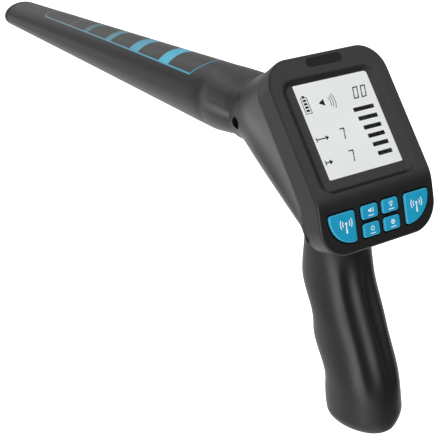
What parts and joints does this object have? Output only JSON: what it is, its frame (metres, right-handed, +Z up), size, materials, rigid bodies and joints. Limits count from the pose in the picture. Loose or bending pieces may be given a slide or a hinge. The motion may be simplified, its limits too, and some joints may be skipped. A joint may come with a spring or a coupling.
{
  "type": "pipe locator",
  "caption": "Hand-held pipe locator: a pistol grip carries a slanted head with a display and push buttons, and a long tapered antenna wand points forward.",
  "frame": {"origin": "centre of the hand grip, on the object's middle plane", "axes": "+X to the user's right, +Y forward along the wand, +Z up from the grip's foot to the head"},
  "size_m": [0.0888, 0.48, 0.2325],
  "materials": {
    "shell": "fine matte",
    "wand": "satin",
    "rubber": "matte",
    "badge": "gloss",
    "window": "gloss",
    "lcd": "satin",
    "white_plastic": "matte",
    "circuit_board": "satin",
    "black_parts": "matte",
    "ribbon": "satin",
    "ferrite": "dull",
    "copper": "enamelled",
    "foam": "matte",
    "lead": "satin",
    "cell_wrap": "gloss",
    "brass": "bright",
    "screw_steel": "bright",
    "button_blue": "satin"
  },
  "bodies": {
    "body": {"face_cover": "shell", "housing_left": "shell", "housing_right": "shell", "wand_tube": "wand", "wand_end_cap": "wand", "wand_seal": "rubber", "badge_plate": "badge", "display_window": "window", "display_gasket": "rubber", "lcd_panel": "lcd", "backlight_plate": "white_plastic", "main_board": "circuit_board", "board_parts": "black_parts", "buzzer": "black_parts", "key_board": "circuit_board", "key_mat": "rubber", "key_ribbon": "ribbon", "ferrite_rod": "ferrite", "front_bobbin": "white_plastic", "rear_bobbin": "white_plastic", "front_winding": "copper", "rear_winding": "copper", "rod_spacers": "foam", "antenna_lead": "lead", "battery_cells": "cell_wrap", "battery_holder": "black_parts", "battery_leads": "lead", "charging_socket": "black_parts", "charging_pin": "brass", "housing_screws": "screw_steel", "board_screws": "screw_steel", "key_board_screws": "screw_steel"},
    "sound_button": {"sound_button": "button_blue"},
    "lamp_button": {"lamp_button": "button_blue"},
    "power_button": {"power_button": "button_blue"},
    "settings_button": {"settings_button": "button_blue"},
    "left_search_button": {"left_search_button": "button_blue"},
    "right_search_button": {"right_search_button": "button_blue"}
  },
  "joints": [
    {"name": "sound_button_press", "type": "slide", "parent": "body", "child": "sound_button", "axis": [0, 0.9724, -0.2334], "range_m": [0, 0.0008], "stiffness_N_per_m": 1500},
    {"name": "lamp_button_press", "type": "slide", "parent": "body", "child": "lamp_button", "axis": [0, 0.9724, -0.2334], "range_m": [0, 0.0008], "stiffness_N_per_m": 1500},
    {"name": "power_button_press", "type": "slide", "parent": "body", "child": "power_button", "axis": [0, 0.9724, -0.2334], "range_m": [0, 0.0008], "stiffness_N_per_m": 1500},
    {"name": "settings_button_press", "type": "slide", "parent": "body", "child": "settings_button", "axis": [0, 0.9724, -0.2334], "range_m": [0, 0.0008], "stiffness_N_per_m": 1500},
    {"name": "left_search_button_press", "type": "slide", "parent": "body", "child": "left_search_button", "axis": [0, 0.9724, -0.2334], "range_m": [0, 0.0008], "stiffness_N_per_m": 1500},
    {"name": "right_search_button_press", "type": "slide", "parent": "body", "child": "right_search_button", "axis": [0, 0.9724, -0.2334], "range_m": [0, 0.0008], "stiffness_N_per_m": 1500}
  ]
}
